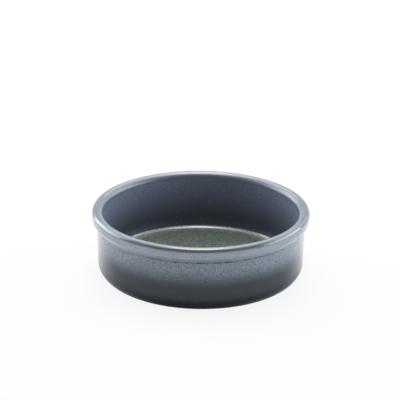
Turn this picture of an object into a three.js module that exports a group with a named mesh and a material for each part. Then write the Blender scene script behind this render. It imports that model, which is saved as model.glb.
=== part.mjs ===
// Tapas dish: a round stoneware dish with an upright wall and a heavy rim band, glazed inside and out.
// Millimetres, +Z up. The origin is the centre of the foot, on the surface that the dish stands on.
// The clay is one fired body. Each glaze is a thin coat of its own, fused to the clay under it.
import * as THREE from 'three';

// Driving dimensions, measured over the glaze
const RIM_DIAMETER = 145;
const DISH_HEIGHT = 46.5;
const RIM_OUTER_ROUND = 2.2; // radius of the rim's outer top edge
const RIM_INNER_WIDTH = 5.3; // the rim's top falls inward over this width
const RIM_INNER_DROP = 4.0; // and by this much, as a quarter ellipse
const BAND_FACE = 4.4; // upright face of the band, down to where its underside would meet it
const BAND_STEP = 3.08; // how far the band stands out from the wall
const BAND_TAPER = 4.0; // height of the sloping underside of the band
const BAND_EDGE_ROUND = 2.5; // radius of the edge between the band's face and its underside
const WALL_DRAFT = 0.93; // the outside wall leans in by this much, from the band down to the heel
const HEEL_RADIUS = 10.0; // round turn from the wall to the foot
const FLOOR_TOP = 6.5; // height of the eating surface
const COVE_RADIUS = 8.0; // round turn from the floor to the inside wall
const FOOT_WIDTH = 6.0; // flat ring that the dish stands on
const RECESS_DEPTH = 1.5; // the base inside the foot ring is raised by this much
const RECESS_RUN = 1.4; // width of the slope from the foot ring up to the raised base

// Glaze
const GLAZE_COAT = 0.45; // thickness of each coat
const GLAZE_LINE = 0.5; // the outside glaze is wiped away below this height, so that the foot is bare clay
const BOND = 0.05; // clearance between a coat and the clay under it
const COAT_SEAM = 0.05; // each coat stops this far short of the next one

// Facets
const ROUND_SEGMENTS = 64;
const COVE_STEPS = 6; // an even number, because two coats meet in the middle of the cove
const RIM_INNER_STEPS = 5;
const RIM_OUTER_STEPS = 4;
const BAND_EDGE_STEPS = 2;
const HEEL_STEPS = 6;
const BARE_HEEL_STEPS = 2;
const QUARTER = Math.PI / 2;

// Places that follow from the sizes
const rimRadius = RIM_DIAMETER / 2;
const crestRadius = rimRadius - RIM_OUTER_ROUND;
const innerRadius = crestRadius - RIM_INNER_WIDTH;
const bandTop = DISH_HEIGHT - RIM_OUTER_ROUND;
const bandLow = bandTop - BAND_FACE;
const wallTop = bandLow - BAND_TAPER;
const wallTopRadius = rimRadius - BAND_STEP;
const heelTopRadius = wallTopRadius - WALL_DRAFT;
const footRadius = heelTopRadius - HEEL_RADIUS;
const recessRadius = footRadius - FOOT_WIDTH;
const glazeLineAngle = -Math.asin((HEEL_RADIUS - GLAZE_LINE) / HEEL_RADIUS);

const point = (radius, height) => new THREE.Vector2(radius, height);

/** Points of an elliptical arc in the section, from one angle to another. */
function arc(centre, radiusAcross, radiusUp, from, to, steps) {
  return Array.from({ length: steps + 1 }, (_, step) => {
    const angle = from + ((to - from) * step) / steps;
    return point(centre.x + radiusAcross * Math.cos(angle), centre.y + radiusUp * Math.sin(angle));
  });
}

// The finished section, zone by zone, from the middle of the floor over the rim to the middle of the base.
// A zone starts where the zone before it ends.
const coveCentre = point(innerRadius - COVE_RADIUS, FLOOR_TOP + COVE_RADIUS);
const cove = arc(coveCentre, COVE_RADIUS, COVE_RADIUS, -QUARTER, 0, COVE_STEPS);
const coveMiddle = COVE_STEPS / 2;
const rimInnerCentre = point(crestRadius, DISH_HEIGHT - RIM_INNER_DROP);
const rimInner = arc(rimInnerCentre, RIM_INNER_WIDTH, RIM_INNER_DROP, Math.PI, QUARTER, RIM_INNER_STEPS);
const rimOuterCentre = point(crestRadius, bandTop);
const rimOuter = arc(rimOuterCentre, RIM_OUTER_ROUND, RIM_OUTER_ROUND, QUARTER, 0, RIM_OUTER_STEPS);
const bandEdgeTurn = Math.atan2(BAND_STEP, BAND_TAPER);
const bandEdgeDrop = BAND_EDGE_ROUND * Math.tan(bandEdgeTurn / 2);
const bandEdgeCentre = point(rimRadius - BAND_EDGE_ROUND, bandLow + bandEdgeDrop);
const bandEdge = arc(bandEdgeCentre, BAND_EDGE_ROUND, BAND_EDGE_ROUND, 0, -bandEdgeTurn, BAND_EDGE_STEPS);
const heelCentre = point(footRadius, HEEL_RADIUS);
const heel = arc(heelCentre, HEEL_RADIUS, HEEL_RADIUS, 0, glazeLineAngle, HEEL_STEPS);
const bareHeel = arc(heelCentre, HEEL_RADIUS, HEEL_RADIUS, glazeLineAngle, -QUARTER, BARE_HEEL_STEPS);

const zones = {
  well: [point(0, FLOOR_TOP), ...cove.slice(0, coveMiddle + 1)],
  insideWall: [...cove.slice(coveMiddle), rimInner[0]],
  rim: [...rimInner, ...rimOuter.slice(1), ...bandEdge, point(wallTopRadius, wallTop)],
  outsideWall: [point(wallTopRadius, wallTop), ...heel],
  foot: [...bareHeel, point(recessRadius, 0), point(recessRadius - RECESS_RUN, RECESS_DEPTH)],
  base: [point(recessRadius - RECESS_RUN, RECESS_DEPTH), point(0, RECESS_DEPTH)],
};

const section = [];
const span = {};
for (const [name, points] of Object.entries(zones)) {
  const fresh = section.length ? points.slice(1) : points;
  const start = Math.max(section.length - 1, 0);
  section.push(...fresh);
  span[name] = [start, section.length];
}

/** The section moved into the clay by a depth, point for point, with mitred corners. */
function inset(path, depth) {
  const inward = (a, b) => point(b.y - a.y, a.x - b.x).normalize();
  return path.map((here, i) => {
    const before = inward(path[Math.max(i - 1, 0)], path[Math.max(i, 1)]);
    const last = path.length - 1;
    const after = inward(path[Math.min(i, last - 1)], path[Math.min(i + 1, last)]);
    const mitre = depth / (1 + before.dot(after));
    const moved = here.clone().addScaledVector(before.add(after), mitre);
    return here.x === 0 ? point(0, moved.y) : moved;
  });
}

const coatUnderside = inset(section, GLAZE_COAT);
const claySurface = inset(section, GLAZE_COAT + BOND);

/** A point moved along the line towards another point. */
function towards(from, to, distance) {
  return from.clone().addScaledVector(to.clone().sub(from).normalize(), distance);
}

/** One zone of a path, with its ends drawn back by the seam wherever they don't lie on the axis. */
function coatFace(path, name) {
  const points = path.slice(...span[name]).map((p) => p.clone());
  const last = points.length - 1;
  const first = points[0].x > 0 ? towards(points[0], points[1], COAT_SEAM) : points[0];
  const end = points[last].x > 0 ? towards(points[last], points[last - 1], COAT_SEAM) : points[last];
  return [first, ...points.slice(1, last), end];
}

/** Closed section of a glaze coat: its finished face out, its underside back. */
function coatSection(name) {
  const face = coatFace(section, name);
  const underside = coatFace(coatUnderside, name).reverse();
  const ring = [...face, ...underside];
  const meetsAxis = ring.some((p) => p.x === 0);
  if (!meetsAxis) return [...ring, ring[0].clone()];
  // A coat that covers the middle starts and ends its section on the axis.
  const startsOnAxis = face[0].x === 0;
  return startsOnAxis ? ring : [...underside, ...face];
}

/** Section of the clay: under the coats everywhere but on the foot, where it is the finished face. */
function claySection() {
  return Object.keys(zones).flatMap((name) => {
    if (name === 'foot') return section.slice(...span.foot);
    return claySurface.slice(...span[name]);
  });
}

/** Drops points that repeat the one before them. */
function withoutRepeats(points) {
  return points.filter((p, i) => i === 0 || !p.equals(points[i - 1]));
}

/** A named solid of revolution about +Z. */
function turned(name, points, material) {
  const outline = withoutRepeats(points).reverse();
  const geometry = new THREE.LatheGeometry(outline, ROUND_SEGMENTS);
  geometry.rotateX(QUARTER);
  const mesh = new THREE.Mesh(geometry, new THREE.MeshStandardMaterial(material));
  mesh.name = name;
  return mesh;
}

const CLAY = { color: 0xb9a68c, roughness: 0.9, metalness: 0 };
const WELL_GREEN = { color: 0x626f67, roughness: 0.3, metalness: 0 };
const INSIDE_BLUE = { color: 0x333b46, roughness: 0.2, metalness: 0 };
const RIM_GREY = { color: 0xa5afb8, roughness: 0.3, metalness: 0 };
const OUTSIDE_SLATE = { color: 0x5d666e, roughness: 0.25, metalness: 0 };
const BASE_SLATE = { color: 0x474f55, roughness: 0.35, metalness: 0 };

const tapasDish = new THREE.Group();
tapasDish.name = 'tapas_dish';
tapasDish.add(
  turned('stoneware_body', claySection(), CLAY),
  turned('floor_glaze', coatSection('well'), WELL_GREEN),
  turned('wall_glaze', coatSection('insideWall'), INSIDE_BLUE),
  turned('rim_glaze', coatSection('rim'), RIM_GREY),
  turned('outer_glaze', coatSection('outsideWall'), OUTSIDE_SLATE),
  turned('base_glaze', coatSection('base'), BASE_SLATE),
);

export default tapasDish;
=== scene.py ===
"""A glazed stoneware tapas dish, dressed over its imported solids.

The clay and each glaze coat are surfaces of revolution. A section is an array of complex numbers, radius plus
height times i, so that arcs, straight stretches and parallel curves are short formulas on whole arrays.
"""

import logging
import math
from dataclasses import dataclass
from enum import Enum
from typing import Callable

import bpy
import numpy as np
from mathutils import Matrix, Vector


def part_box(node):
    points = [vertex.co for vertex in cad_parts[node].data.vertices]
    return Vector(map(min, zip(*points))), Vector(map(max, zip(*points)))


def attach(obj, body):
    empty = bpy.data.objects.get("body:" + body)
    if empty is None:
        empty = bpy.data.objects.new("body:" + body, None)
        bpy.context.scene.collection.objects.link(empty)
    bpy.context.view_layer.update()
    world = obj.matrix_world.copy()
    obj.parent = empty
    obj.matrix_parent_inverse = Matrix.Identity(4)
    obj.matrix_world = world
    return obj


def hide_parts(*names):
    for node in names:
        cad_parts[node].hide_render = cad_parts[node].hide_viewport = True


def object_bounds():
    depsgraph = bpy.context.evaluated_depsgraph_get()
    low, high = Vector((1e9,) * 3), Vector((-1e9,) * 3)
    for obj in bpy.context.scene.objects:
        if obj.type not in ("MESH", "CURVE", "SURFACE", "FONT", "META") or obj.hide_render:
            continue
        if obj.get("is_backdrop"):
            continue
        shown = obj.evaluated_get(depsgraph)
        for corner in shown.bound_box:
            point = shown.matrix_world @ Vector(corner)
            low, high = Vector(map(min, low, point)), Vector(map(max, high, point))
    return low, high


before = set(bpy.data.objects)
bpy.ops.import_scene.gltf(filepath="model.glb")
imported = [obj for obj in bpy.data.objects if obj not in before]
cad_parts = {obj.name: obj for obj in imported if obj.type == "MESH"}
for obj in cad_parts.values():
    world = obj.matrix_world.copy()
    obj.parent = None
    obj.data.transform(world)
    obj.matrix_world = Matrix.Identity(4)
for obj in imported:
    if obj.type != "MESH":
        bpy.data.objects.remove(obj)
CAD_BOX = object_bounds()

LOG = logging.getLogger("tapas_dish")
MM = 0.001
PER_MM = 1000.0
QUARTER = math.pi / 2
FULL_TURN = 2.0 * math.pi
SHARP_ANGLE = math.radians(35.0)
BODY = "root"

Colour = tuple[float, float, float]
Path = np.ndarray
# Where a smooth step starts and where it ends
Span = tuple[float, float]


def srgb(red: int, green: int, blue: int) -> Colour:
    """Linear colour of an 8-bit colour, by the usual two-part curve.

    Args:
        red: red, 0 to 255.
        green: green, 0 to 255.
        blue: blue, 0 to 255.

    Returns:
        The linear colour.
    """
    share = np.array([red, green, blue]) / 255.0
    linear = np.where(share <= 0.04045, share / 12.92, ((share + 0.055) / 1.055) ** 2.4)
    return tuple(float(value) for value in linear)


class GlazeColour(Enum):
    """Colours of the dish's glazes, their flecks and the clay, with some painted light and shade among them.
    """

    LILAC_GREY = srgb(164, 176, 190)
    SLATE = srgb(30, 46, 57)
    DEEP_SLATE = srgb(10, 17, 21)
    RIM_GREY = srgb(156, 169, 180)
    SMOKE_GREY = srgb(100, 112, 122)
    DUSK_BLUE = srgb(110, 127, 140)
    INK_BLUE = srgb(137, 145, 165)
    SHADE_BLUE = srgb(96, 104, 122)
    NIGHT_BLUE = srgb(76, 85, 96)
    POOL_GREEN = srgb(87, 106, 104)
    # Painted light: the floor's lift towards the cove
    PAINTED_LIGHT_GREEN = srgb(126, 145, 143)
    # Painted highlight: the floor's glow in the cove
    PAINTED_HIGHLIGHT_GREEN = srgb(176, 190, 180)
    POOL_TEAL = srgb(68, 91, 99)
    OCHRE = srgb(198, 181, 120)
    DULL_OCHRE = srgb(160, 146, 98)
    DARK_OLIVE = srgb(66, 66, 58)
    # Colour of the painted highlight on the corner under the band
    PAINTED_CREAM_HIGHLIGHT = srgb(206, 206, 196)
    BUFF = srgb(190, 170, 142)
    WARM_BUFF = srgb(166, 142, 112)
    IRON = srgb(92, 70, 52)


# Sections and surfaces


def arc(centre: complex, across: float, up: float, start: float, stop: float, steps: int) -> Path:
    """Points of an elliptical arc.

    Each point is the centre plus across times the cosine and up times the sine of an even angle.

    Args:
        centre: centre of the ellipse.
        across: half width.
        up: half height.
        start: first angle, in radians.
        stop: last angle, in radians.
        steps: number of stretches.

    Returns:
        The arc's points.
    """
    angle = np.linspace(start, stop, steps + 1)
    return centre + across * np.cos(angle) + 1j * up * np.sin(angle)


def line(first: complex, last: complex, steps: int) -> Path:
    """Evenly spaced points of a straight stretch."""
    return first + (last - first) * np.linspace(0.0, 1.0, steps + 1)


def join(*stretches: Path) -> Path:
    """One path of several stretches, without the point that each shares with the one before."""
    return np.concatenate([stretches[0], *(stretch[1:] for stretch in stretches[1:])])


def inset(path: Path, depth: float) -> Path:
    """The path moved to its right by a depth, with mitred corners.

    At each point the right-hand normals of the two stretches that meet there are added, and the sum is
    divided by one plus their dot product.

    Args:
        path: points along axis 0; a second axis may hold the same path at other angles.
        depth: distance to move.

    Returns:
        The moved path, point for point.
    """
    run = np.diff(path, axis=0)
    normal = -1j * run / np.abs(run)
    before = np.concatenate([normal[:1], normal])
    after = np.concatenate([normal, normal[-1:]])
    dot = (before * after.conj()).real
    return path + depth * (before + after) / (1.0 + dot)


def angles_round(segments: int) -> np.ndarray:
    """Even angles once round the dish."""
    return np.arange(segments) * (FULL_TURN / segments)


def periodic_noise(angle: np.ndarray, low: int, high: int, seed: int) -> np.ndarray:
    """A random curve round the dish.

    It is a sum of cosines of whole frequencies with random phases, each with a random weight over the root of
    its frequency, scaled to unit spread.

    Args:
        angle: angles round the dish.
        low: lowest frequency.
        high: highest frequency, itself left out.
        seed: seed of the phases and weights.

    Returns:
        One value for each angle.
    """
    source = np.random.default_rng(seed)
    frequency = np.arange(low, high)
    phase = source.uniform(0.0, FULL_TURN, len(frequency))
    weight = source.uniform(0.3, 1.0, len(frequency)) / np.sqrt(frequency)
    curve = (weight[:, None] * np.cos(frequency[:, None] * angle + phase[:, None])).sum(axis=0)
    return curve / curve.std()


@dataclass(frozen=True)
class RaggedEdge:
    """Edge of a glaze that pulls back from the corner under the band, most of all at the front and back."""

    seed: int
    reach: float
    turn: float = math.radians(80.0)
    swing: float = 1.5
    calm: float = 0.8
    frequencies: tuple[int, int] = (24, 320)
    limit: float = 2.6

    def shortfall(self, angle: np.ndarray) -> np.ndarray:
        """How far the glaze ends short of the corner.

        It is the swing times a squared cosine, less the calm, plus a random curve, clipped at zero and at the
        limit, and times the reach.

        Args:
            angle: angles round the dish.

        Returns:
            One distance for each angle.
        """
        front_and_back = np.cos(angle + self.turn) ** 2
        curve = self.swing * front_and_back - self.calm + periodic_noise(angle, *self.frequencies, self.seed)
        return self.reach * np.clip(curve, 0.0, self.limit)


# Waves that drying and firing leave in the dish: strength, number of sides and turn of each
WARP_WAVES = ((0.6, 2.0, 0.7), (0.4, 3.0, 2.1))
WARP_SHARE = 0.0005
WARP_HEIGHT = 46.0 * MM


def out_of_round(angle: np.ndarray, height: np.ndarray) -> np.ndarray:
    """Share of the radius that is left: one less a small two- and three-sided wave that grows with height."""
    wave = sum(strength * np.cos(sides * angle + turn) for strength, sides, turn in WARP_WAVES)
    return 1.0 - WARP_SHARE * (1.0 + wave) * (height / WARP_HEIGHT)


def revolve(path: Path, segments: int, closed: bool) -> tuple[np.ndarray, np.ndarray, np.ndarray]:
    """Surface of revolution of a section about Z.

    Each point of the section is carried round by its radius times the cosine and sine of an even angle. A
    closed section joins its last ring to its first. An open one ends in a pole at each end.

    Args:
        path: section, with points along axis 0 and, where it changes round the dish, angles along axis 1.
        segments: number of steps round the dish.
        closed: whether the section closes on itself.

    Returns:
        Vertices, four-sided faces and three-sided faces, with the faces outward.
    """
    angle = angles_round(segments)
    grid = np.broadcast_to(path.reshape(len(path), -1), (len(path), segments))
    poles = np.empty((0, 3))
    if not closed:
        poles = np.array([[0.0, 0.0, grid[0].imag.mean()], [0.0, 0.0, grid[-1].imag.mean()]])
        grid = grid[1:-1]
    radius = grid.real * out_of_round(angle, grid.imag)
    rings = np.stack([radius * np.cos(angle), radius * np.sin(angle), grid.imag], axis=-1)
    vertices = np.concatenate([rings.reshape(-1, 3), poles])
    count = len(grid)
    index = np.arange(count * segments).reshape(count, segments)
    lower = index if closed else index[:-1]
    upper = np.roll(index, -1, axis=0) if closed else index[1:]
    quads = np.stack([lower, np.roll(lower, -1, 1), np.roll(upper, -1, 1), upper], axis=-1).reshape(-1, 4)
    fans = np.empty((0, 3), int)
    if not closed:
        first_pole = np.full(segments, count * segments)
        first = np.stack([first_pole, np.roll(index[0], -1), index[0]], axis=-1)
        last = np.stack([first_pole + 1, index[-1], np.roll(index[-1], -1)], axis=-1)
        fans = np.concatenate([first, last])
    if signed_volume(vertices, quads, fans) < 0.0:
        quads, fans = quads[:, ::-1], fans[:, ::-1]
    return vertices, quads, fans


def signed_volume(vertices: np.ndarray, quads: np.ndarray, fans: np.ndarray) -> float:
    """Volume inside a closed surface: a sixth of the sum of each triangle's triple product.

    Args:
        vertices: points of the surface.
        quads: four-sided faces.
        fans: three-sided faces.

    Returns:
        The volume, negative where the faces point inward.
    """
    triangles = np.concatenate([quads[:, [0, 1, 2]], quads[:, [0, 2, 3]], fans])
    a, b, c = (vertices[triangles[:, corner]] for corner in range(3))
    return float(np.einsum("ij,ij->i", a, np.cross(b, c)).sum() / 6.0)


def solid(name: str, path: Path, segments: int, closed: bool) -> bpy.types.Object:
    """A smooth mesh object of revolution, sharp only at its steep edges.

    Args:
        name: name of the piece.
        path: its section.
        segments: number of steps round the dish.
        closed: whether the section closes on itself.

    Returns:
        The object, linked to the scene.
    """
    vertices, quads, fans = revolve(path, segments, closed)
    mesh = bpy.data.meshes.new(name)
    mesh.from_pydata(vertices.tolist(), [], quads.tolist() + fans.tolist())
    mesh.polygons.foreach_set("use_smooth", np.ones(len(mesh.polygons), bool))
    mesh.set_sharp_from_angle(angle=SHARP_ANGLE)
    mesh.update()
    piece = bpy.data.objects.new(name, mesh)
    bpy.context.scene.collection.objects.link(piece)
    return piece


@dataclass(frozen=True)
class DishSection:
    """Finished section of the dish over its glaze, in metres, and the number of steps in each stretch.

    The sizes are those of the solids, apart from a wider and flatter outer edge on the rim.
    """

    rim_radius: float
    height: float
    rim_outer_width: float = 3.1 * MM
    rim_outer_drop: float = 2.5 * MM
    rim_inner_width: float = 4.4 * MM
    rim_inner_drop: float = 4.0 * MM
    band_face: float = 4.1 * MM
    band_step: float = 3.08 * MM
    band_taper: float = 4.0 * MM
    band_edge_round: float = 2.5 * MM
    wall_draft: float = 0.93 * MM
    heel_radius: float = 10.0 * MM
    floor_top: float = 6.5 * MM
    cove_radius: float = 8.0 * MM
    foot_width: float = 6.0 * MM
    recess_depth: float = 1.5 * MM
    recess_run: float = 1.4 * MM
    coat: float = 0.45 * MM
    glaze_line: float = 0.5 * MM
    bond: float = 0.05 * MM
    floor_steps: int = 16
    half_cove_steps: int = 10
    wall_steps: int = 22
    rim_inner_steps: int = 17
    rim_outer_steps: int = 12
    band_face_steps: int = 3
    band_edge_steps: int = 5
    heel_steps: int = 20
    bare_heel_steps: int = 6
    foot_steps: int = 3
    base_steps: int = 14

    @property
    def crest(self) -> complex:
        """Highest point of the rim."""
        return complex(self.rim_radius - self.rim_outer_width, self.height)

    @property
    def inner_radius(self) -> float:
        """Radius of the inside wall."""
        return self.crest.real - self.rim_inner_width

    @property
    def corner(self) -> complex:
        """Inside corner where the band's underside meets the outside wall."""
        drop = self.rim_outer_drop + self.band_face + self.band_taper
        return complex(self.rim_radius - self.band_step, self.height - drop)

    @property
    def heel_centre(self) -> complex:
        """Centre of the heel's arc, above the outer edge of the foot ring."""
        return complex(self.corner.real - self.wall_draft - self.heel_radius, self.heel_radius)

    @property
    def glaze_line_angle(self) -> float:
        """Angle on the heel's arc at which the outside glaze ends."""
        return -math.asin(1.0 - self.glaze_line / self.heel_radius)

    @property
    def recess_edge(self) -> complex:
        """Edge of the raised base inside the foot ring."""
        return complex(self.heel_centre.real - self.foot_width - self.recess_run, self.recess_depth)

    def half_cove(self, start: float, stop: float) -> Path:
        """Half of the cove between the floor and the inside wall."""
        centre = complex(self.inner_radius - self.cove_radius, self.floor_top + self.cove_radius)
        return arc(centre, self.cove_radius, self.cove_radius, start, stop, self.half_cove_steps)

    def well(self) -> Path:
        """Floor and lower half of the cove, from the axis outward."""
        edge = complex(self.inner_radius - self.cove_radius, self.floor_top)
        return join(line(1j * self.floor_top, edge, self.floor_steps), self.half_cove(-QUARTER, -QUARTER / 2))

    def inside_wall(self) -> Path:
        """Upper half of the cove and the inside wall, upward.

        Returns:
            The path.
        """
        low = complex(self.inner_radius, self.floor_top + self.cove_radius)
        high = complex(self.inner_radius, self.height - self.rim_inner_drop)
        return join(self.half_cove(-QUARTER / 2, 0.0), line(low, high, self.wall_steps))

    def rim_top(self) -> Path:
        """Rim from the inside wall over its crest and down the band to the end of its lower edge.

        Returns:
            The path.
        """
        inner_centre = self.crest - 1j * self.rim_inner_drop
        outer_centre = self.crest - 1j * self.rim_outer_drop
        turn = math.atan2(self.band_step, self.band_taper)
        tangent = self.band_edge_round * math.tan(turn / 2)
        edge_height = self.corner.imag + self.band_taper + tangent
        edge_centre = complex(self.rim_radius - self.band_edge_round, edge_height)
        inner = arc(inner_centre, self.rim_inner_width, self.rim_inner_drop, math.pi, QUARTER,
                    self.rim_inner_steps)
        outer = arc(outer_centre, self.rim_outer_width, self.rim_outer_drop, QUARTER, 0.0,
                    self.rim_outer_steps)
        edge = arc(edge_centre, self.band_edge_round, self.band_edge_round, 0.0, -turn, self.band_edge_steps)
        return join(inner, outer, line(outer[-1], edge[0], self.band_face_steps), edge)

    def heel_arc(self, start: float, stop: float, steps: int) -> Path:
        """Part of the round turn from the outside wall to the foot."""
        return arc(self.heel_centre, self.heel_radius, self.heel_radius, start, stop, steps)

    def heel(self) -> Path:
        """Heel from the outside wall down to the glaze line."""
        return self.heel_arc(0.0, self.glaze_line_angle, self.heel_steps)

    def foot(self) -> Path:
        """Bare clay from the glaze line under the heel, over the foot ring and up to the raised base.

        Returns:
            The path.
        """
        bare_heel = self.heel_arc(self.glaze_line_angle, -QUARTER, self.bare_heel_steps)
        ring_outer = complex(self.heel_centre.real, 0.0)
        ring_inner = complex(self.heel_centre.real - self.foot_width, 0.0)
        ring = line(ring_outer, ring_inner, self.foot_steps)
        return join(bare_heel, ring, line(ring_inner, self.recess_edge, self.foot_steps))

    def base(self) -> Path:
        """Raised base, from its edge to the axis."""
        return line(self.recess_edge, 1j * self.recess_depth, self.base_steps)


# Shader maths


class Term:
    """A shader value. Python operators on terms and numbers add Math nodes."""

    def __init__(self, graph: "Graph", socket: bpy.types.NodeSocket) -> None:
        """Keeps the socket and the graph that it belongs to."""
        self.graph = graph
        self.socket = socket

    def __add__(self, other: "Term | float") -> "Term":
        """This plus the other."""
        return self.graph.math("ADD", self, other)

    __radd__ = __add__

    def __sub__(self, other: "Term | float") -> "Term":
        """This less the other."""
        return self.graph.math("SUBTRACT", self, other)

    def __rsub__(self, other: float) -> "Term":
        """The other less this."""
        return self.graph.math("SUBTRACT", other, self)

    def __mul__(self, other: "Term | float") -> "Term":
        """This times the other."""
        return self.graph.math("MULTIPLY", self, other)

    __rmul__ = __mul__

    def __truediv__(self, other: "Term | float") -> "Term":
        """This over the other."""
        return self.graph.math("DIVIDE", self, other)

    def __pow__(self, other: "Term | float") -> "Term":
        """This to the power of the other."""
        return self.graph.math("POWER", self, other)

    def rise(self, low: float, high: float) -> "Term":
        """A smooth step from 0 to 1, or from 1 to 0 where low lies above high.

        Args:
            low: the value at which it is 0, and stays so beyond.
            high: the value at which it is 1, and stays so beyond.

        Returns:
            The step.
        """
        settings = {"interpolation_type": "SMOOTHSTEP"}
        values = {"Value": self, "From Min": min(low, high), "From Max": max(low, high)}
        step = Term(self.graph, self.graph.add("ShaderNodeMapRange", settings, values).outputs["Result"])
        return step if low < high else 1.0 - step


class Graph:
    """A node tree. Terms add their nodes through it."""

    def __init__(self, tree: bpy.types.NodeTree) -> None:
        """Empties the tree and keeps it."""
        tree.nodes.clear()
        self.tree = tree

    def add(self, kind: str, settings: dict | None = None, inputs: dict | None = None) -> bpy.types.Node:
        """Adds any node.

        Args:
            kind: the node's type.
            settings: the node's own settings, set first.
            inputs: value, term or socket for each named or numbered input.

        Returns:
            The node.
        """
        node = self.tree.nodes.new(kind)
        for name, value in (settings or {}).items():
            setattr(node, name, value)
        for key, value in (inputs or {}).items():
            self.feed(node.inputs[key], value)
        return node

    def feed(self, socket: bpy.types.NodeSocket, value: object) -> None:
        """Gives a socket its link or its value.

        Args:
            socket: the input.
            value: a term or socket to link, or a plain value.
        """
        source = value.socket if isinstance(value, Term) else value
        if isinstance(source, bpy.types.NodeSocket):
            self.tree.links.new(source, socket)
        else:
            socket.default_value = source

    def math(self, operation: str, first: Term | float, second: Term | float) -> Term:
        """A Math node on two values."""
        node = self.add("ShaderNodeMath", {"operation": operation}, {0: first, 1: second})
        return Term(self, node.outputs["Value"])

    def parts(self, vector: bpy.types.NodeSocket) -> tuple[Term, Term, Term]:
        """The three parts of a vector."""
        node = self.add("ShaderNodeSeparateXYZ", inputs={"Vector": vector})
        return tuple(Term(self, node.outputs[axis]) for axis in "XYZ")

    def mix(self, share: Term | float, first: object, second: object) -> bpy.types.NodeSocket:
        """A colour part of the way from the first to the second.

        Args:
            share: 0 gives the first colour, 1 the second.
            first: named colour or colour socket.
            second: named colour or colour socket.

        Returns:
            The mixed colour's socket.
        """
        colours = [(*part.value, 1.0) if isinstance(part, GlazeColour) else part for part in (first, second)]
        node = self.add("ShaderNodeMix", {"data_type": "RGBA"}, {0: share, 6: colours[0], 7: colours[1]})
        return node.outputs[2]

    def rays(self) -> tuple[Term, Term]:
        """Tells which kind of ray looks.

        Returns:
            1 for rays from the camera, and 1 for rays that a reflection or a clear body sends on.
        """
        kinds = self.add("ShaderNodeLightPath").outputs
        glossy, clear = Term(self, kinds["Is Glossy Ray"]), Term(self, kinds["Is Transmission Ray"])
        return Term(self, kinds["Is Camera Ray"]), self.math("MAXIMUM", glossy, clear)


class Surface(Graph):
    """One material: its shader, its output, and places on the piece in millimetres."""

    cloud_edge: Span = (0.35, 0.65)
    gloss_edge: Span = (0.45, 0.85)
    gloss_weight: float = 0.7

    def __init__(self, name: str, refraction: float = 1.5) -> None:
        """Makes the material.

        Args:
            name: name of the material.
            refraction: index of refraction, which sets how strongly the surface reflects.
        """
        self.material = bpy.data.materials.new(name)
        self.material.use_nodes = True
        super().__init__(self.material.node_tree)
        self.shader = self.add("ShaderNodeBsdfPrincipled", inputs={"IOR": refraction})
        self.output = self.add("ShaderNodeOutputMaterial", inputs={"Surface": self.shader.outputs["BSDF"]})
        place = self.add("ShaderNodeTexCoord").outputs["Object"]
        scaled = self.add("ShaderNodeVectorMath", {"operation": "SCALE"}, {"Vector": place, "Scale": PER_MM})
        self.place = scaled.outputs["Vector"]
        across, self.depth, self.height = self.parts(self.place)
        self.radius = (across * across + self.depth * self.depth) ** 0.5

    def noise(self, size: float, detail: float = 2.0, rough: float = 0.5) -> Term:
        """Soft random patches.

        Args:
            size: size of the largest patches, in millimetres.
            detail: number of finer layers.
            rough: strength of the finer layers.

        Returns:
            A value that varies round 0.5.
        """
        values = {"Vector": self.place, "Scale": 1.0 / size, "Detail": detail, "Roughness": rough}
        return Term(self, self.add("ShaderNodeTexNoise", inputs=values).outputs["Fac"])

    def clouds(self, size: float) -> Term:
        """Slow soft clouds, 0 to 1."""
        return self.noise(size, 3.0).rise(*self.cloud_edge)

    def edge_gloss(self) -> Term:
        """Weight of a glassy top layer that shows only at grazing angles."""
        facing = self.add("ShaderNodeLayerWeight", inputs={"Blend": 0.5}).outputs["Facing"]
        return self.gloss_weight * Term(self, facing).rise(*self.gloss_edge)

    def cells(self, spacing: float) -> tuple[Term, Term]:
        """Random cells.

        Args:
            spacing: mean distance between their centres, in millimetres.

        Returns:
            Distance to the nearest centre as a share of the spacing, and a random number for each cell.
        """
        node = self.add("ShaderNodeTexVoronoi", inputs={"Vector": self.place, "Scale": 1.0 / spacing})
        pick = self.add("ShaderNodeSeparateColor", inputs={"Color": node.outputs["Color"]})
        return Term(self, node.outputs["Distance"]), Term(self, pick.outputs["Red"])

    def finish(self, colour: object, roughness: Term, relief: Term, depth: float) -> bpy.types.Material:
        """Connects what varies to the shader.

        Args:
            colour: base colour's socket.
            roughness: roughness.
            relief: height of the fine relief, 0 to 1.
            depth: depth of the relief, in millimetres.

        Returns:
            The material.
        """
        bump = self.add("ShaderNodeBump", inputs={"Height": relief, "Distance": depth * MM})
        self.feed(self.shader.inputs["Base Color"], colour)
        self.feed(self.shader.inputs["Roughness"], roughness)
        self.feed(self.shader.inputs["Normal"], bump.outputs["Normal"])
        return self.material


# Finishes


@dataclass(frozen=True)
class Specks:
    """Flecks of another colour in a glaze. The size is a share of the spacing, which is in millimetres."""

    colour: GlazeColour
    spacing: float
    size: float
    share: float
    strength: float = 1.0
    core: float = 0.45
    pick_edge: float = 0.02

    def over(self, graph: Surface, ground: object, where: Term | float = 1.0) -> bpy.types.NodeSocket:
        """Lays the flecks over a ground.

        Args:
            graph: the material's graph.
            ground: the colour under them.
            where: where they may lie, 0 to 1.

        Returns:
            The colour with its flecks.
        """
        distance, pick = graph.cells(self.spacing)
        shown = pick.rise(1.0 - self.share, 1.0 - self.share + self.pick_edge)
        fleck = distance.rise(self.size, self.size * self.core) * shown
        return graph.mix(fleck * where * self.strength, ground, self.colour)


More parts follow.
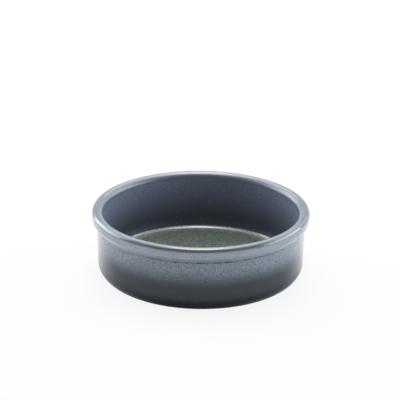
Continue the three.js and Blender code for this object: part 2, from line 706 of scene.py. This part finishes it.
@dataclass(frozen=True)
class Glaze:
    """A reactive glaze: a fine curdled mottle and flecks over a ground, with a satin face, in millimetres."""

    mottle: GlazeColour
    mottle_size: float
    mottle_share: float
    roughness: float
    specks: tuple[Specks, ...] = ()
    refraction: float = 1.55
    top_roughness: float = 0.12
    top_refraction: float = 2.4
    curdle_detail: float = 3.0
    curdle_rough: float = 0.62
    curdle_edge: Span = (0.46, 0.6)
    satin_size: float = 9.0
    satin_swing: float = 0.08
    peel_size: float = 2.6
    peel_share: float = 0.6
    peel_depth: float = 0.03

    def material(self, name: str, ground: Callable[[Surface], object],
                 flecked: Callable[[Surface], Term] | None = None,
                 dulled: Callable[[Surface], Term] | None = None,
                 coated: Callable[[Surface], Term] | None = None) -> bpy.types.Material:
        """Builds the material over a ground colour.

        Args:
            name: name of the material.
            ground: gives the colour that varies slowly over the piece.
            flecked: gives where the flecks lie, if not everywhere.
            dulled: gives the roughness to add, if any.
            coated: gives the weight of the glassy top layer, if there is one.

        Returns:
            The material.
        """
        graph = Surface(name, self.refraction)
        graph.feed(graph.shader.inputs["Coat Weight"], coated(graph) if coated else 0.0)
        graph.shader.inputs["Coat Roughness"].default_value = self.top_roughness
        graph.shader.inputs["Coat IOR"].default_value = self.top_refraction
        curdle = graph.noise(self.mottle_size, self.curdle_detail, self.curdle_rough)
        colour = graph.mix(curdle.rise(*self.curdle_edge) * self.mottle_share, ground(graph), self.mottle)
        where = flecked(graph) if flecked else 1.0
        for specks in self.specks:
            colour = specks.over(graph, colour, where)
        patches = graph.noise(self.satin_size)
        satin = self.roughness + self.satin_swing * (patches - 0.5) + self.satin_swing * (curdle - 0.5)
        peel = self.peel_share * graph.noise(self.peel_size) + (1.0 - self.peel_share) * curdle
        return graph.finish(colour, satin + dulled(graph) if dulled else satin, peel, self.peel_depth)


@dataclass(frozen=True)
class BareClay:
    """Buff gritty clay with iron specks, stained dark where the glazes pull apart. Sizes are in mm."""

    grain_size: float = 1.4
    grain_detail: float = 4.0
    grain_rough: float = 0.65
    grain_depth: float = 0.08
    roughness: float = 0.72
    roughness_swing: float = 0.3
    stain: Span = (20.0, 24.0)
    specks: Specks = Specks(GlazeColour.IRON, spacing=1.6, size=0.26, share=0.35)

    def material(self, name: str) -> bpy.types.Material:
        """Builds the material.

        Args:
            name: name of the material.

        Returns:
            The material.
        """
        graph = Surface(name)
        grain = graph.noise(self.grain_size, self.grain_detail, self.grain_rough)
        colour = graph.mix(grain.rise(*graph.cloud_edge), GlazeColour.BUFF, GlazeColour.WARM_BUFF)
        colour = self.specks.over(graph, colour)
        colour = graph.mix(graph.height.rise(*self.stain), colour, GlazeColour.DARK_OLIVE)
        return graph.finish(colour, self.roughness + self.roughness_swing * grain, grain, self.grain_depth)


# Pieces of the dish


@dataclass
class Piece:
    """One piece of the dish: it builds its mesh, dresses it and takes the place of its solid."""

    section: DishSection
    name: str
    node: str
    slot: str
    segments: int = 512

    def path(self) -> tuple[Path, bool]:
        """Section of the piece, and whether it closes on itself."""
        raise NotImplementedError

    def material(self) -> bpy.types.Material:
        """Finish of the piece."""
        raise NotImplementedError

    def build(self) -> None:
        """Makes the piece, dresses it, sets it on its body and reports it."""
        path, closed = self.path()
        piece = solid(self.name, path, self.segments, closed)
        piece.data.materials.append(self.material())
        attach(piece, BODY)
        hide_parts(self.node)
        LOG.info("%s: %d faces, slot %s", self.name, len(piece.data.polygons), self.slot)

    def coat_over(self, face: Path) -> Path:
        """Section of a coat: its finished face out, and its underside back at the coat's thickness."""
        return np.concatenate([face, inset(face, self.section.coat)[::-1]])

    def all_round(self, path: Path) -> Path:
        """A path repeated at each angle round the dish."""
        return np.broadcast_to(path[:, None], (len(path), self.segments))


@dataclass
class ClayBody(Piece):
    """The fired clay under the glazes, bare on the foot and along the broken line under the band."""

    wall_steps: int = 16
    slope_steps: int = 4
    finish: BareClay = BareClay()

    def path(self) -> tuple[Path, bool]:
        """Inset of the glazed zones, joined to the finished foot.

        Returns:
            The section, and that it is open: it starts and ends on the axis.
        """
        section = self.section
        rim, heel = section.rim_top(), section.heel()
        slope = line(rim[-1], section.corner, self.slope_steps)
        wall = line(section.corner, heel[0], self.wall_steps)
        glazed = join(section.well(), section.inside_wall(), rim, slope, wall, heel)
        depth = section.coat + section.bond
        return np.concatenate([inset(glazed, depth), section.foot(), inset(section.base(), depth)]), False

    def material(self) -> bpy.types.Material:
        """Bare clay."""
        return self.finish.material("bare_clay")


@dataclass
class FloorCoat(Piece):
    """Green glaze that pooled on the floor. The spans are radii in millimetres."""

    cloud_size: float = 16.0
    # Painted light: paler towards the wall, where the floor would otherwise fall into shade
    painted_lift: Span = (20.0, 60.0)
    painted_lift_share: float = 0.7
    # Painted highlight: a pale ring that carries the cove's highlight onto the floor
    painted_cove_glow: Span = (55.5, 60.5)
    painted_cove_glow_share: float = 0.8
    fleck_end: Span = (60.5, 57.5)
    glassy: Span = (53.0, 58.0)
    glassy_weight: float = 0.78
    finish: Glaze = Glaze(
        GlazeColour.POOL_TEAL, mottle_size=0.9, mottle_share=0.7, roughness=0.32,
        specks=(Specks(GlazeColour.DULL_OCHRE, spacing=0.9, size=0.5, share=0.5, strength=0.8),
                Specks(GlazeColour.OCHRE, spacing=1.25, size=0.5, share=0.55)),
        refraction=1.6, top_roughness=0.17)

    def path(self) -> tuple[Path, bool]:
        """Finished floor out from the axis, and its underside back to it."""
        return self.coat_over(self.section.well()), False

    def ground(self, graph: Surface) -> bpy.types.NodeSocket:
        """Green with slow clouds, with painted light rising towards the cove and a painted highlight in it.

        Args:
            graph: the material's graph.

        Returns:
            The colour.
        """
        pool = graph.mix(graph.clouds(self.cloud_size), GlazeColour.POOL_GREEN, GlazeColour.POOL_TEAL)
        # Painted light rising towards the cove
        pale = graph.mix(graph.radius.rise(*self.painted_lift) * self.painted_lift_share, pool, GlazeColour.PAINTED_LIGHT_GREEN)
        # Painted highlight in the cove
        painted_cove_glow = graph.radius.rise(*self.painted_cove_glow) * self.painted_cove_glow_share
        return graph.mix(painted_cove_glow, pale, GlazeColour.PAINTED_HIGHLIGHT_GREEN)

    def material(self) -> bpy.types.Material:
        """Pooled glaze with flecks up to the cove, where it turns glassy."""
        return self.finish.material(
            "pooled_green_glaze", self.ground,
            flecked=lambda graph: graph.radius.rise(*self.fleck_end),
            coated=lambda graph: self.glassy_weight * graph.radius.rise(*self.glassy))


@dataclass
class WallCoat(Piece):
    """Dark blue glaze on the inside wall. The spans are heights in millimetres."""

    shade: Span = (10.0, 42.0)
    fleck_end: Span = (26.0, 8.0)
    finish: Glaze = Glaze(
        GlazeColour.NIGHT_BLUE, mottle_size=0.6, mottle_share=0.6, roughness=0.42,
        specks=(Specks(GlazeColour.DULL_OCHRE, spacing=1.4, size=0.26, share=0.35, strength=0.8),),
        refraction=1.35)

    def path(self) -> tuple[Path, bool]:
        """Finished wall and its underside."""
        return self.coat_over(self.section.inside_wall()), True

    def ground(self, graph: Surface) -> bpy.types.NodeSocket:
        """Night blue at the floor and ink blue at the top."""
        return graph.mix(graph.height.rise(*self.shade), GlazeColour.NIGHT_BLUE, GlazeColour.INK_BLUE)

    def material(self) -> bpy.types.Material:
        """Blue glaze with flecks low down."""
        return self.finish.material("inside_blue_glaze", self.ground,
                                    flecked=lambda graph: graph.height.rise(*self.fleck_end))


@dataclass
class RimCoat(Piece):
    """Pale glaze over the rim and its band, ending in a ragged edge. The spans are in millimetres."""

    segments: int = 1024
    slope_steps: int = 8
    ragged: RaggedEdge = RaggedEdge(seed=3, reach=0.22 * MM)
    cloud_size: float = 12.0
    cloud_drift: float = 1.6
    fray_size: float = 2.0
    fray: float = 1.2
    # Smoky on the slope under the band and on the crest's outer edge: partly thin glaze, partly painted shade
    thin_and_shaded_below: Span = (38.8, 33.6)
    thin_and_shaded_above: Span = (43.2, 45.2)
    # Painted shade: a darker blue where the rim turns down into the inside wall
    shaded_inside: Span = (67.2, 65.6)
    outward: Span = (68.6, 70.2)
    dull_inside: Span = (68.6, 65.4)
    dull_roughness: float = 0.3
    finish: Glaze = Glaze(
        GlazeColour.SMOKE_GREY, mottle_size=0.5, mottle_share=0.65, roughness=0.09, refraction=2.0)

    def path(self) -> tuple[Path, bool]:
        """Finished rim with its slope ended short of the corner by a random curve, and its underside.

        Returns:
            The section at each angle, and that it is closed.
        """
        section = self.section
        top = section.rim_top()
        slope = section.corner - top[-1]
        short = section.bond + self.ragged.shortfall(angles_round(self.segments))
        end = section.corner - short * slope / abs(slope)
        under_band = top[-1] + (end - top[-1]) * np.linspace(0.0, 1.0, self.slope_steps + 1)[1:, None]
        return self.coat_over(np.concatenate([self.all_round(top), under_band])), True

    def ground(self, graph: Surface) -> bpy.types.NodeSocket:
        """Pale on the band, smoky over the edges, dusky blue on the inside, darker at the inside wall.

        The smoky tone is partly the glaze running thin and partly painted shade, on the slope under the band
        and along the crest's outer edge. The darker blue where the rim meets the inside wall is painted
        shade.

        Args:
            graph: the material's graph.

        Returns:
            The colour.
        """
        height = graph.height + self.cloud_drift * (graph.noise(self.cloud_size, 3.0) - 0.5)
        radius = graph.radius + self.fray * (graph.noise(self.fray_size, 3.0) - 0.5)
        # Smoky where the glaze is thin, with painted shade under the band and along the crest's outer edge
        band = graph.mix(height.rise(*self.thin_and_shaded_below), GlazeColour.RIM_GREY, GlazeColour.SMOKE_GREY)
        outside = graph.mix(height.rise(*self.thin_and_shaded_above), band, GlazeColour.SMOKE_GREY)
        # Painted shade: darker blue where the rim turns down into the inside wall
        inside = graph.mix(radius.rise(*self.shaded_inside), GlazeColour.DUSK_BLUE, GlazeColour.SHADE_BLUE)
        return graph.mix(radius.rise(*self.outward), inside, outside)

    def material(self) -> bpy.types.Material:
        """Glossy pale glaze, duller towards the inside wall."""
        return self.finish.material(
            "pale_rim_glaze", self.ground,
            dulled=lambda graph: self.dull_roughness * graph.radius.rise(*self.dull_inside),
            coated=Surface.edge_gloss)


@dataclass
class OuterCoat(Piece):
    """Speckled glaze on the outside wall, from its ragged upper edge to the bare foot.

    The spans are heights in millimetres, apart from the one that says otherwise.
    """

    segments: int = 1024
    wall_steps: int = 24
    wall_spread: float = 1.6
    ragged: RaggedEdge = RaggedEdge(seed=8, reach=0.26 * MM)
    cloud_size: float = 22.0
    cloud_drift: float = 2.5
    # Deep slate at the heel: partly the glaze's own colour, partly painted shade of the contact shadow
    heel_shade: Span = (4.0, 16.0)
    wall_shade: Span = (17.0, 32.0)
    fleck_end: Span = (24.0, 12.0)
    # Painted highlight: a cream line at the top of the wall under the band, on the left and right sides
    edge_highlight: Span = (34.6, 35.6)
    edge_highlight_share: float = 0.8
    # Squared sine of the angle round the dish: the painted cream highlight ends at the first and is whole at
    # the second
    edge_highlight_sides: Span = (0.5, 0.25)
    finish: Glaze = Glaze(
        GlazeColour.SLATE, mottle_size=0.34, mottle_share=1.0, roughness=0.2,
        specks=(Specks(GlazeColour.DULL_OCHRE, spacing=1.3, size=0.26, share=0.3, strength=0.3),),
        refraction=1.53)

    def path(self) -> tuple[Path, bool]:
        """Finished wall, started short of the corner by a random curve, with the heel and the underside.

        Returns:
            The section at each angle, and that it is closed.
        """
        section = self.section
        heel = section.heel()
        wall = heel[0] - section.corner
        short = section.bond + self.ragged.shortfall(angles_round(self.segments))
        start = section.corner + short * wall / abs(wall)
        spread = np.linspace(0.0, 1.0, self.wall_steps + 1)[:-1, None] ** self.wall_spread
        upright = start + (heel[0] - start) * spread
        return self.coat_over(np.concatenate([upright, self.all_round(heel)])), True

    def ground(self, graph: Surface) -> bpy.types.NodeSocket:
        """Lilac grey under the band, slate lower down, deep slate at the heel, and a cream line at the sides.

        At the heel the deep slate is partly the glaze's colour and partly painted shade of the contact
        shadow.
        The cream line is a painted highlight on the corner under the band.

        Args:
            graph: the material's graph.

        Returns:
            The colour.
        """
        height = graph.height + self.cloud_drift * (graph.noise(self.cloud_size) - 0.5)
        # Deep slate at the heel, partly painted shade of the contact shadow
        low = graph.mix(height.rise(*self.heel_shade), GlazeColour.DEEP_SLATE, GlazeColour.SLATE)
        wall = graph.mix(height.rise(*self.wall_shade), low, GlazeColour.LILAC_GREY)
        # Painted cream highlight under the band, whole only at the left and right sides
        squared_sine = (graph.depth / graph.radius) ** 2.0
        edge_highlight = graph.height.rise(*self.edge_highlight) * squared_sine.rise(*self.edge_highlight_sides)
        return graph.mix(edge_highlight * self.edge_highlight_share, wall, GlazeColour.PAINTED_CREAM_HIGHLIGHT)

    def material(self) -> bpy.types.Material:
        """Speckled glaze with flecks low down."""
        return self.finish.material(
            "speckled_slate_glaze", self.ground,
            flecked=lambda graph: graph.height.rise(*self.fleck_end),
            coated=Surface.edge_gloss)


@dataclass
class BaseCoat(Piece):
    """Slate glaze on the raised base inside the foot ring."""

    cloud_size: float = 18.0
    finish: Glaze = Glaze(
        GlazeColour.DEEP_SLATE, mottle_size=1.6, mottle_share=0.6, roughness=0.3,
        specks=(Specks(GlazeColour.DULL_OCHRE, spacing=2.0, size=0.22, share=0.25, strength=0.7),))

    def path(self) -> tuple[Path, bool]:
        """Underside out from the axis, then the finished base back to it."""
        face = self.section.base()
        return np.concatenate([inset(face, self.section.coat)[::-1], face]), False

    def ground(self, graph: Surface) -> bpy.types.NodeSocket:
        """Slate with slow deep clouds."""
        return graph.mix(graph.clouds(self.cloud_size), GlazeColour.SLATE, GlazeColour.DEEP_SLATE)

    def material(self) -> bpy.types.Material:
        """Slate glaze with flecks."""
        return self.finish.material("base_slate_glaze", self.ground)


# Stage, light and camera


WHITE: Colour = (1.0, 1.0, 1.0)
COOL_SKY: Colour = (0.92, 1.0, 1.1)
COOL_PANEL: Colour = (0.95, 1.0, 1.12)


@dataclass(frozen=True)
class Softbox:
    """A soft rectangular lamp that faces the dish."""

    name: str
    place: tuple[float, float, float]
    size: tuple[float, float]
    level: float
    tint: Colour = WHITE

    def build(self) -> None:
        """Makes the lamp. Its power is its level, which is its face's radiance, times pi times its area."""
        lamp = bpy.data.lights.new(self.name, "AREA")
        lamp.shape = "RECTANGLE"
        lamp.size, lamp.size_y = self.size
        lamp.color = self.tint
        lamp.energy = self.level * math.pi * lamp.size * lamp.size_y
        holder = bpy.data.objects.new(self.name, lamp)
        holder.location = self.place
        holder.rotation_euler = Vector(self.place).to_track_quat("Z", "Y").to_euler()
        holder.visible_camera = False
        bpy.context.scene.collection.objects.link(holder)


@dataclass(frozen=True)
class Studio:
    """Pale floor, an overhead strip that fades at its sides, softboxes behind, side panels, a dark front.

    The floor's reaches are in millimetres, and all other lengths are in metres.
    """

    floor_half: float = 4.0
    floor_height: float = -0.02 * MM
    floor_colour: Colour = (0.8, 0.8, 0.8)
    floor_roughness: float = 0.9
    floor_specular: float = 0.1
    floor_white: float = 0.88
    shadow_reach: Span = (70.0, 100.0)
    front_reach: Span = (-60.0, -120.0)
    front_grey: float = 0.55
    softboxes: tuple[Softbox, ...] = (
        Softbox("strip_core", (0.0, 0.33, 1.2), (0.34, 0.94), 2.2),
        Softbox("strip_middle", (0.0, 0.33, 1.21), (0.66, 0.94), 1.4),
        Softbox("strip_wide", (0.0, 0.33, 1.22), (1.1, 0.94), 0.9),
        Softbox("softbox_back", (0.0, 0.95, 0.88), (0.7, 0.6), 1.6),
        Softbox("softbox_left", (-0.8, 0.7, 0.75), (1.0, 0.9), 1.3, COOL_SKY),
        Softbox("softbox_right", (0.8, 0.7, 0.75), (1.0, 0.9), 0.9, COOL_SKY),
        Softbox("panel_left", (-1.15, 0.55, 0.42), (1.3, 0.9), 2.45, COOL_PANEL),
        Softbox("panel_right", (1.3, 0.15, 0.42), (1.4, 0.9), 2.6, COOL_PANEL),
    )
    back_fill: float = 0.4
    room_fill: float = 0.35
    room_gloss: float = 0.1
    back_edge: Span = (-0.4, 0.3)

    def build(self) -> None:
        """Makes the floor, the light and the surround."""
        self.floor()
        for softbox in self.softboxes:
            softbox.build()
        self.world()

    def floor(self) -> None:
        """A wide flat floor. To the camera it is nearly white and keeps a soft shadow.

        In reflections it is white away from the dish, greyer in front, and keeps the whole shadow near it.
        """
        half, low = self.floor_half, self.floor_height
        corners = [(-half, -half, low), (half, -half, low), (half, half, low), (-half, half, low)]
        mesh = bpy.data.meshes.new("studio_floor")
        mesh.from_pydata(corners, [], [(0, 1, 2, 3)])
        floor = bpy.data.objects.new("studio_floor", mesh)
        bpy.context.scene.collection.objects.link(floor)
        graph = Surface("pale_floor")
        graph.shader.inputs["Base Color"].default_value = (*self.floor_colour, 1.0)
        graph.shader.inputs["Roughness"].default_value = self.floor_roughness
        graph.shader.inputs["Specular IOR Level"].default_value = self.floor_specular
        camera, reflected = graph.rays()
        in_front = graph.depth.rise(*self.front_reach)
        lit = graph.radius.rise(*self.shadow_reach) * (1.0 - self.front_grey * in_front)
        share = camera * self.floor_white + reflected * lit
        white = graph.add("ShaderNodeEmission", inputs={"Strength": 1.0})
        shaders = {0: share, 1: graph.shader.outputs["BSDF"], 2: white.outputs["Emission"]}
        seen = graph.add("ShaderNodeMixShader", inputs=shaders)
        graph.feed(graph.output.inputs["Surface"], seen.outputs["Shader"])
        graph.material.cycles.emission_sampling = "NONE"
        mesh.materials.append(graph.material)
        floor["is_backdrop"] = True

    def world(self) -> None:
        """White to the camera.

        For reflections it is white at the back and dark behind the camera. For light it is a low fill.
        """
        world = bpy.data.worlds.new("surround")
        bpy.context.scene.world = world
        world.use_nodes = True
        graph = Graph(world.node_tree)
        camera, reflected = graph.rays()
        _, depth, _ = graph.parts(graph.add("ShaderNodeTexCoord").outputs["Generated"])
        back = depth.rise(*self.back_edge)
        gloss = self.room_gloss + (1.0 - self.room_gloss) * back
        fill = self.room_fill + (self.back_fill - self.room_fill) * back
        unseen = reflected * gloss + (1.0 - reflected) * fill
        level = camera + (1.0 - camera) * unseen
        background = graph.add("ShaderNodeBackground", inputs={"Strength": level})
        graph.add("ShaderNodeOutputWorld", inputs={"Surface": background.outputs["Background"]})


@dataclass(frozen=True)
class PhotoCamera:
    """Camera at the photograph's viewing angle, aimed so that the middle of the foot lands on its pixel."""

    distance: float = 1.5
    elevation: float = 23.26
    roll: float = 0.557
    frame_pixels: float = 400.0
    focal_pixels: float = 2227.9
    foot_pixel: tuple[float, float] = (200.284, 272.13)
    sensor: float = 36.0

    def build(self) -> None:
        """Makes the camera and gives it to the scene."""
        lens = bpy.data.cameras.new("photo_camera")
        lens.sensor_width = self.sensor
        lens.lens = self.focal_pixels / self.frame_pixels * self.sensor
        camera = bpy.data.objects.new("photo_camera", lens)
        camera.matrix_world = self.place()
        bpy.context.scene.collection.objects.link(camera)
        bpy.context.scene.camera = camera

    def place(self) -> Matrix:
        """Place and turn of the camera.

        The camera first looks straight at the origin. It is then panned and tilted by the turn that brings
        the ray of the foot's pixel onto the origin, and rolled about its own axis.

        Returns:
            The camera's matrix.
        """
        tilt = math.radians(self.elevation)
        lean = math.radians(self.roll)
        right = Vector((1.0, 0.0, 0.0))
        forward = Vector((0.0, math.cos(tilt), -math.sin(tilt)))
        up = right.cross(forward)
        across = (self.foot_pixel[0] - self.frame_pixels / 2) / self.focal_pixels
        down = (self.foot_pixel[1] - self.frame_pixels / 2) / self.focal_pixels
        level_across = math.cos(lean) * across + math.sin(lean) * down
        level_down = -math.sin(lean) * across + math.cos(lean) * down
        ray = (right * level_across - up * level_down + forward).normalized()
        turn = ray.rotation_difference(forward)
        right, up, backward = (turn @ axis for axis in (right, up, -forward))
        rolled_right = math.cos(lean) * right + math.sin(lean) * up
        rolled_up = math.cos(lean) * up - math.sin(lean) * right
        eye = Vector((0.0, -math.cos(tilt), math.sin(tilt))) * self.distance
        columns = Matrix((rolled_right, rolled_up, backward)).transposed().to_4x4()
        return Matrix.Translation(eye) @ columns


def write_sizes() -> None:
    """Works out the solids' box and the dressed dish's box as plain lists, which are not written anywhere."""
    boxes = {"cad": CAD_BOX, "visual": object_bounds()}
    plain = {name: [[float(value) for value in corner] for corner in box] for name, box in boxes.items()}


def main() -> None:
    """Makes the camera, builds the dish piece by piece, then the studio."""
    logging.basicConfig(level=logging.INFO, format="%(name)s %(message)s")
    bpy.context.scene.view_settings.view_transform = "Standard"
    PhotoCamera().build()
    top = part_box("rim_glaze")[1]
    section = DishSection(rim_radius=top.x, height=top.z)
    pieces: list[Piece] = [
        ClayBody(section, "clay", "stoneware_body", "clay"),
        FloorCoat(section, "floor_coat", "floor_glaze", "green_glaze"),
        WallCoat(section, "wall_coat", "wall_glaze", "blue_glaze"),
        RimCoat(section, "rim_coat", "rim_glaze", "pale_glaze"),
        OuterCoat(section, "outer_coat", "outer_glaze", "slate_glaze"),
        BaseCoat(section, "base_coat", "base_glaze", "base_glaze"),
    ]
    for piece in pieces:
        piece.build()
    Studio().build()
    write_sizes()


if __name__ == "__main__":
    main()
